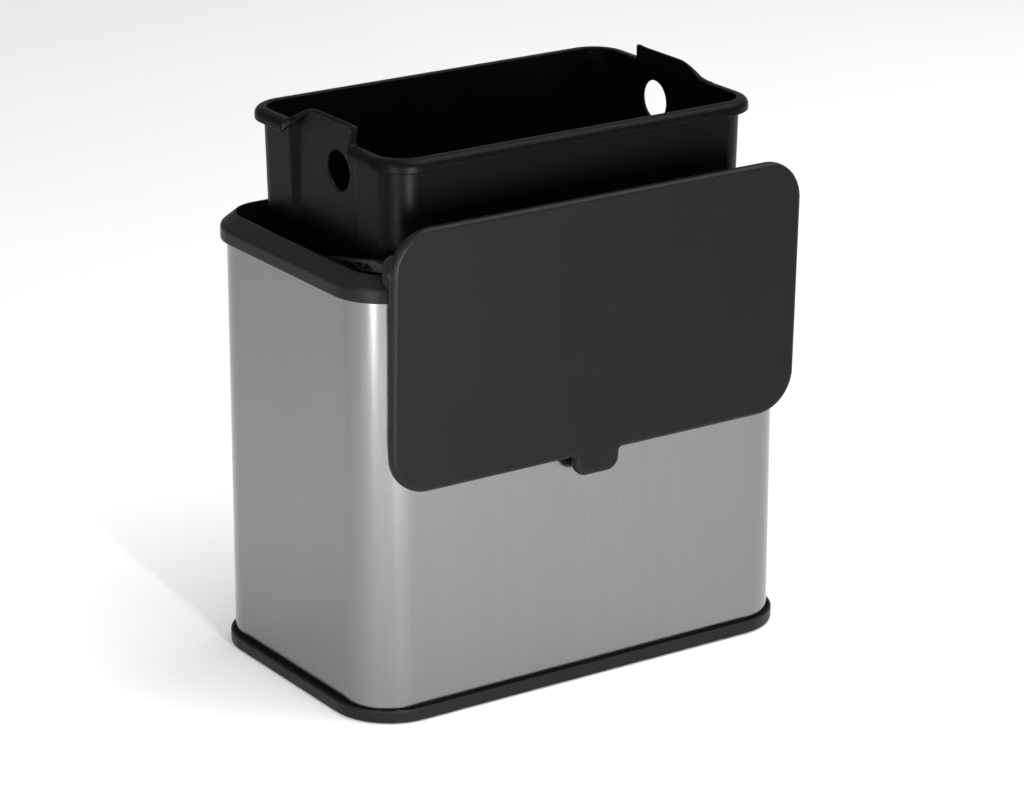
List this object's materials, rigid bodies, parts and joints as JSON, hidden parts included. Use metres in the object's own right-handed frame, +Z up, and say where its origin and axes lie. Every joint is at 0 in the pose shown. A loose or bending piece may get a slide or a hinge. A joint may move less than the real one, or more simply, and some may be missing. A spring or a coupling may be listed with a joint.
{
  "type": "rectangular waste bin",
  "caption": "Rectangular brushed steel waste bin with a black collar and base, a lift-out inner bucket and a flat lid that hangs in front on two swing arms.",
  "frame": {"origin": "on the floor, under the middle of the whole object as it stands with its lid hanging in front", "axes": "+X along the long side to the right, -Y the front that the lid hangs on, +Z up"},
  "size_m": [0.33, 0.2134, 0.368],
  "materials": {
    "brushed_steel": "fine vertical brushed grain, satin",
    "black_plastic": "moulded, fine satin texture",
    "arm_plastic": "moulded, satin",
    "lid_plastic": "moulded, fine matte texture",
    "bucket_plastic": "moulded, satin",
    "washer_plastic": "smooth",
    "pin_steel": "plain turned steel",
    "rubber": "matt"
  },
  "bodies": {
    "bin": {"steel_shell": "brushed_steel", "base_tray": "black_plastic", "foot_pad_1": "rubber", "foot_pad_2": "rubber", "foot_pad_3": "rubber", "foot_pad_4": "rubber", "collar": "black_plastic", "pivot_pin_left": "pin_steel", "pivot_pin_right": "pin_steel", "pivot_washer_left": "washer_plastic", "pivot_washer_right": "washer_plastic"},
    "arms": {"lid_arm_left": "arm_plastic", "lid_arm_right": "arm_plastic"},
    "lid": {"lid_panel": "lid_plastic", "lid_bumper": "rubber"},
    "bucket": {"inner_bucket": "bucket_plastic"}
  },
  "joints": [
    {"name": "arm_swing", "type": "hinge", "parent": "bin", "child": "arms", "pos_m": [0, -0.01851, 0.278], "axis": [-1, 0, 0], "range_deg": [0, 12]},
    {"name": "lid_tilt", "type": "hinge", "parent": "arms", "child": "lid", "pos_m": [0, -0.10031, 0.2954], "axis": [-1, 0, 0], "range_deg": [0, 45]},
    {"name": "bucket_lift", "type": "slide", "parent": "bin", "child": "bucket", "axis": [0, 0, 1], "range_m": [-0.0812, 0.2025]}
  ]
}
